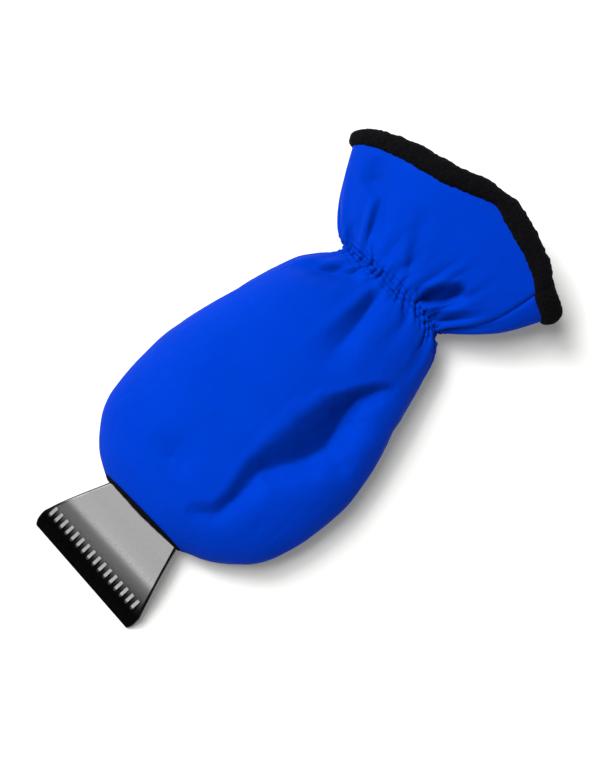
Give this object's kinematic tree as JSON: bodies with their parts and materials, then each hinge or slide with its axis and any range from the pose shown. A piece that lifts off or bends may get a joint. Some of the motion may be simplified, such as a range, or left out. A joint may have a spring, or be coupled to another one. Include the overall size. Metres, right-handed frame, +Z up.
{
  "type": "windshield ice scraper mitt",
  "caption": "Ice scraper with a flared, ribbed plastic blade and a handle inside a padded, fleece-lined cloth mitt with a gathered elastic wrist and a flared cuff.",
  "frame": {"origin": "on the flat underside of the palm panel's plane, under the centre of the whole object's box", "axes": "+X from the scraping edge to the cuff, +Y to the mitt's left seen from its back, +Z up out of the back of the mitt"},
  "size_m": [0.343, 0.17, 0.0556],
  "materials": {
    "shell_cloth": "smooth royal blue woven polyester",
    "fleece": "black brushed fleece",
    "elastic_tape": "white woven elastic",
    "blue_thread": "blue sewing thread",
    "black_thread": "black sewing thread",
    "black_plastic": "glossy black moulded plastic"
  },
  "bodies": {
    "mitt": {"shell_back_panel": "shell_cloth", "shell_palm_panel": "shell_cloth", "lining_back_panel": "fleece", "lining_palm_panel": "fleece", "wrist_elastic": "elastic_tape", "mouth_elastic": "elastic_tape", "mouth_binding": "fleece", "cuff_binding": "fleece", "side_seam_thread_left": "blue_thread", "side_seam_thread_right": "blue_thread", "gather_thread_front": "blue_thread", "gather_thread_rear": "blue_thread", "mouth_thread": "black_thread", "cuff_thread": "black_thread"},
    "scraper": {"scraper": "black_plastic"}
  },
  "joints": [
    {"name": "scraper_pull", "type": "slide", "parent": "mitt", "child": "scraper", "axis": [-1, 0, 0], "range_m": [0, 0.15]}
  ]
}
